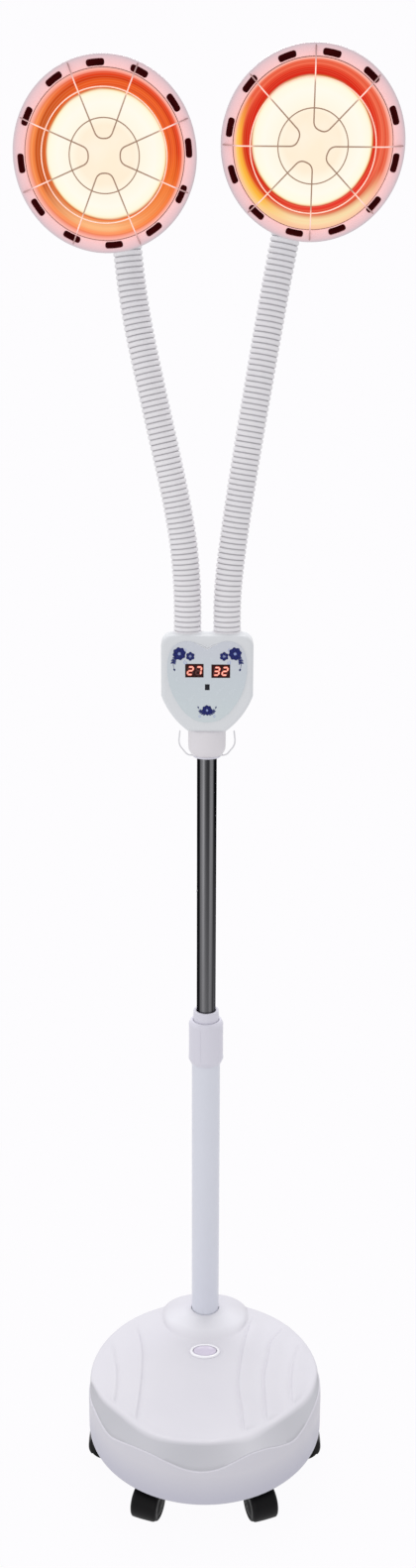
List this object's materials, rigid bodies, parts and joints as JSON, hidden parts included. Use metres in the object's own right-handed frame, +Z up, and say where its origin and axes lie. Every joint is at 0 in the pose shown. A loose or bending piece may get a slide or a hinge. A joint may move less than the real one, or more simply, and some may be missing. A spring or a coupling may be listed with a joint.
{
  "type": "infrared heat therapy lamp",
  "caption": "Floor-standing infrared heat lamp: round wheeled base, telescopic upright, control box, flexible corrugated arms, caged reflector heads.",
  "frame": {"origin": "on the floor under the centre of the round base", "axes": "+Z up along the upright, -Y to the front where the heads shine, +X to the viewer's right"},
  "size_m": [0.3838, 0.3141, 1.7298],
  "materials": {
    "cover_white": "satin moulded plastic",
    "plate_steel": "black powder coat",
    "cast_iron": "rough casting",
    "screw_steel": "zinc plated",
    "tube_white": "satin powder coat",
    "collar_plastic": "satin moulded plastic",
    "mirror_tube": "polished dark chrome",
    "bush_plastic": "natural nylon",
    "box_plastic": "satin moulded plastic",
    "panel_print": "printed film",
    "display_black": "tinted window over lit digits",
    "ir_dark": "tinted window",
    "board_green": "circuit board",
    "gland_black": "moulded nylon",
    "button_cap": "gloss",
    "caster_black": "moulded nylon",
    "wheel_black": "moulded nylon tread",
    "hose_white": "satin flexible hose",
    "shade_white": "satin heat-proof shell",
    "ring_white": "satin, tinted by the lit bulb",
    "reflector_metal": "painted white, lit by the bulb",
    "holder_ceramic": "glazed",
    "bulb_glass": "frosted, lit",
    "guard_wire": "plated wire"
  },
  "bodies": {
    "base": {"base_cover": "cover_white", "base_plate": "plate_steel", "counterweight": "cast_iron", "pole_socket": "plate_steel", "base_screws": "screw_steel", "cord_gland": "gland_black", "switch_housing": "cover_white", "caster_stems": "screw_steel", "outer_tube": "tube_white", "tube_collet": "collar_plastic"},
    "switch_cap": {"switch_button": "button_cap"},
    "lock": {"lock_collar": "collar_plastic"},
    "guide": {"guide_bush": "bush_plastic"},
    "mast": {"inner_tube": "mirror_tube", "tube_collar": "box_plastic", "hook_ring": "tube_white", "box_rear_shell": "box_plastic", "box_front_shell": "box_plastic", "front_panel": "panel_print", "digit_displays": "display_black", "ir_window": "ir_dark", "circuit_board": "board_green", "box_screws": "screw_steel", "arm_ferrules": "box_plastic"},
    "caster_right": {"caster_fork_right": "caster_black"},
    "wheels_right": {"caster_wheels_right": "wheel_black"},
    "caster_rear_right": {"caster_fork_rear_right": "caster_black"},
    "wheels_rear_right": {"caster_wheels_rear_right": "wheel_black"},
    "caster_rear_left": {"caster_fork_rear_left": "caster_black"},
    "wheels_rear_left": {"caster_wheels_rear_left": "wheel_black"},
    "caster_left": {"caster_fork_left": "caster_black"},
    "wheels_left": {"caster_wheels_left": "wheel_black"},
    "caster_front_left": {"caster_fork_front_left": "caster_black"},
    "wheels_front_left": {"caster_wheels_front_left": "wheel_black"},
    "caster_front_right": {"caster_fork_front_right": "caster_black"},
    "wheels_front_right": {"caster_wheels_front_right": "wheel_black"},
    "arm_left_1_body": {"arm_left_1": "hose_white"},
    "arm_left_2_body": {"arm_left_2": "hose_white"},
    "arm_left_3_body": {"arm_left_3": "hose_white"},
    "arm_left_4_body": {"arm_left_4": "hose_white"},
    "arm_left_5_body": {"arm_left_5": "hose_white"},
    "head_left": {"arm_left_6": "hose_white", "shade_left": "shade_white", "reflector_left": "reflector_metal", "lampholder_left": "holder_ceramic", "bulb_left": "bulb_glass", "front_ring_left": "ring_white", "wire_guard_left": "guard_wire"},
    "arm_right_1_body": {"arm_right_1": "hose_white"},
    "arm_right_2_body": {"arm_right_2": "hose_white"},
    "arm_right_3_body": {"arm_right_3": "hose_white"},
    "arm_right_4_body": {"arm_right_4": "hose_white"},
    "arm_right_5_body": {"arm_right_5": "hose_white"},
    "head_right": {"arm_right_6": "hose_white", "shade_right": "shade_white", "reflector_right": "reflector_metal", "lampholder_right": "holder_ceramic", "bulb_right": "bulb_glass", "front_ring_right": "ring_white", "wire_guard_right": "guard_wire"}
  },
  "joints": [
    {"name": "switch_press", "type": "slide", "parent": "base", "child": "switch_cap", "axis": [0, 0, -1], "range_m": [0, 0.003], "stiffness_N_per_m": 600, "springref_m": -0.0012},
    {"name": "lock_collar_turn", "type": "hinge", "parent": "base", "child": "lock", "pos_m": [0, 0.12, 0.554], "axis": [0, 0, 1], "range_deg": [0, 100]},
    {"name": "mast_slide", "type": "slide", "parent": "base", "child": "guide", "axis": [0, 0, 1], "range_m": [-0.26, 0.12]},
    {"name": "mast_turn", "type": "hinge", "parent": "guide", "child": "mast", "pos_m": [0, 0.12, 0.35], "axis": [0, 0, 1], "range_deg": [-170, 170]},
    {"name": "swivel_right", "type": "hinge", "parent": "base", "child": "caster_right", "pos_m": [0.119, 0, 0.04], "axis": [0, 0, 1], "continuous": true},
    {"name": "roll_right", "type": "hinge", "parent": "caster_right", "child": "wheels_right", "pos_m": [0.136, 0, 0.019], "axis": [0, 1, 0], "continuous": true},
    {"name": "swivel_rear_right", "type": "hinge", "parent": "base", "child": "caster_rear_right", "pos_m": [0.06481, 0.0998, 0.04], "axis": [0, 0, 1], "continuous": true},
    {"name": "roll_rear_right", "type": "hinge", "parent": "caster_rear_right", "child": "wheels_rear_right", "pos_m": [0.06921, 0.11622, 0.019], "axis": [-0.9659, 0.2588, 0], "continuous": true},
    {"name": "swivel_rear_left", "type": "hinge", "parent": "base", "child": "caster_rear_left", "pos_m": [-0.06481, 0.0998, 0.04], "axis": [0, 0, 1], "continuous": true},
    {"name": "roll_rear_left", "type": "hinge", "parent": "caster_rear_left", "child": "wheels_rear_left", "pos_m": [-0.06921, 0.11622, 0.019], "axis": [-0.9659, -0.2588, 0], "continuous": true},
    {"name": "swivel_left", "type": "hinge", "parent": "base", "child": "caster_left", "pos_m": [-0.119, 0, 0.04], "axis": [0, 0, 1], "continuous": true},
    {"name": "roll_left", "type": "hinge", "parent": "caster_left", "child": "wheels_left", "pos_m": [-0.136, 0, 0.019], "axis": [0, -1, 0], "continuous": true},
    {"name": "swivel_front_left", "type": "hinge", "parent": "base", "child": "caster_front_left", "pos_m": [-0.06654, -0.09866, 0.04], "axis": [0, 0, 1], "continuous": true},
    {"name": "roll_front_left", "type": "hinge", "parent": "caster_front_left", "child": "wheels_front_left", "pos_m": [-0.07236, -0.11463, 0.019], "axis": [0.9397, -0.342, 0], "continuous": true},
    {"name": "swivel_front_right", "type": "hinge", "parent": "base", "child": "caster_front_right", "pos_m": [0.06654, -0.09866, 0.04], "axis": [0, 0, 1], "continuous": true},
    {"name": "roll_front_right", "type": "hinge", "parent": "caster_front_right", "child": "wheels_front_right", "pos_m": [0.07236, -0.11463, 0.019], "axis": [0.9397, 0.342, 0], "continuous": true},
    {"name": "left_nod_low", "type": "hinge", "parent": "mast", "child": "arm_left_1_body", "pos_m": [-0.0244, 0.12, 1.145], "axis": [1, 0, 0], "range_deg": [-14, 14]},
    {"name": "left_sway_low", "type": "hinge", "parent": "arm_left_1_body", "child": "arm_left_2_body", "pos_m": [-0.0305, 0.1225, 1.228], "axis": [0, -1, 0], "range_deg": [0, 14]},
    {"name": "left_nod_high", "type": "hinge", "parent": "arm_left_2_body", "child": "arm_left_3_body", "pos_m": [-0.049, 0.127, 1.322], "axis": [1, 0, 0], "range_deg": [-14, 14]},
    {"name": "left_sway_high", "type": "hinge", "parent": "arm_left_3_body", "child": "arm_left_4_body", "pos_m": [-0.0695, 0.132, 1.412], "axis": [0, -1, 0], "range_deg": [0, 14]},
    {"name": "left_pitch", "type": "hinge", "parent": "arm_left_4_body", "child": "arm_left_5_body", "pos_m": [-0.08871, 0.13769, 1.51069], "axis": [1, 0, 0], "range_deg": [-16, 16]},
    {"name": "left_aim", "type": "hinge", "parent": "arm_left_5_body", "child": "head_left", "pos_m": [-0.10252, 0.11431, 1.63626], "axis": [0.0825, -0.6561, -0.7502], "range_deg": [-2, 14]},
    {"name": "right_nod_low", "type": "hinge", "parent": "mast", "child": "arm_right_1_body", "pos_m": [0.0244, 0.12, 1.145], "axis": [1, 0, 0], "range_deg": [-14, 14]},
    {"name": "right_sway_low", "type": "hinge", "parent": "arm_right_1_body", "child": "arm_right_2_body", "pos_m": [0.0315, 0.1225, 1.225], "axis": [0, 1, 0], "range_deg": [0, 14]},
    {"name": "right_nod_high", "type": "hinge", "parent": "arm_right_2_body", "child": "arm_right_3_body", "pos_m": [0.047, 0.128, 1.33], "axis": [1, 0, 0], "range_deg": [-14, 14]},
    {"name": "right_sway_high", "type": "hinge", "parent": "arm_right_3_body", "child": "arm_right_4_body", "pos_m": [0.062, 0.134, 1.42], "axis": [0, 1, 0], "range_deg": [0, 14]},
    {"name": "right_pitch", "type": "hinge", "parent": "arm_right_4_body", "child": "arm_right_5_body", "pos_m": [0.08035, 0.14063, 1.52568], "axis": [1, 0, 0], "range_deg": [-16, 16]},
    {"name": "right_aim", "type": "hinge", "parent": "arm_right_5_body", "child": "head_right", "pos_m": [0.10671, 0.11496, 1.66441], "axis": [0.1461, 0.6225, 0.7689], "range_deg": [-2, 14]}
  ],
  "couplings": [
    {"joint": "left_nod_high", "follows": "left_nod_low", "ratio": 1},
    {"joint": "left_sway_high", "follows": "left_sway_low", "ratio": 1},
    {"joint": "right_nod_high", "follows": "right_nod_low", "ratio": 1},
    {"joint": "right_sway_high", "follows": "right_sway_low", "ratio": 1}
  ]
}
